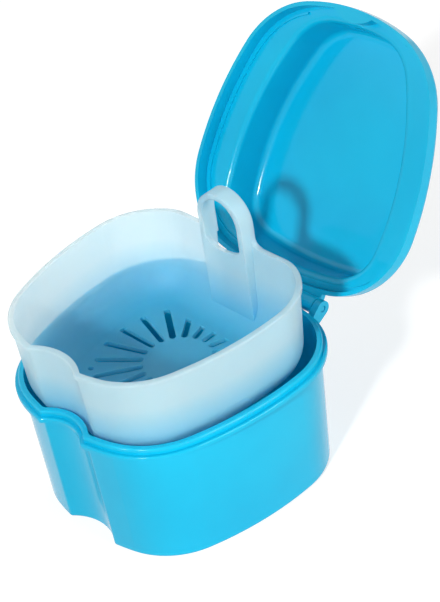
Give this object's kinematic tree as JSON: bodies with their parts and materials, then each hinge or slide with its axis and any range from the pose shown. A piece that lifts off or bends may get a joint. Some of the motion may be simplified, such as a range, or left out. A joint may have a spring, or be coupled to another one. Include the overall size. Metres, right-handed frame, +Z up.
{
  "type": "denture case",
  "caption": "Hinged plastic soaking case for dentures: a notched tub, a domed swing lid and a frosted lift-out draining basket with a loop handle.",
  "frame": {"origin": "centre of the tub's flat underside, on the surface that the case stands on", "axes": "+Z up, -Y the front with the thumb notch, +Y the hinge side, +X to the right seen from the front"},
  "size_m": [0.0826, 0.1405, 0.1083],
  "materials": {
    "case_plastic": "glossy opaque cyan-blue moulded polypropylene",
    "pin_plastic": "the same blue plastic as the case",
    "basket_plastic": "frosted translucent milky moulded polypropylene"
  },
  "bodies": {
    "tub": {"tub": "case_plastic", "hinge_pin": "pin_plastic"},
    "lid": {"lid": "case_plastic"},
    "basket": {"basket": "basket_plastic"}
  },
  "joints": [
    {"name": "lid_hinge", "type": "hinge", "parent": "tub", "child": "lid", "pos_m": [0, 0.04236, 0.03975], "axis": [1, 0, 0], "range_deg": [0, 124.1]},
    {"name": "basket_lift", "type": "slide", "parent": "tub", "child": "basket", "axis": [0, -0.0495, 0.9988], "range_m": [-0.03234, 0]}
  ],
  "couplings": [
    {"joint": "basket_lift", "follows": "lid_hinge", "m_per_rad": -0.014931}
  ]
}
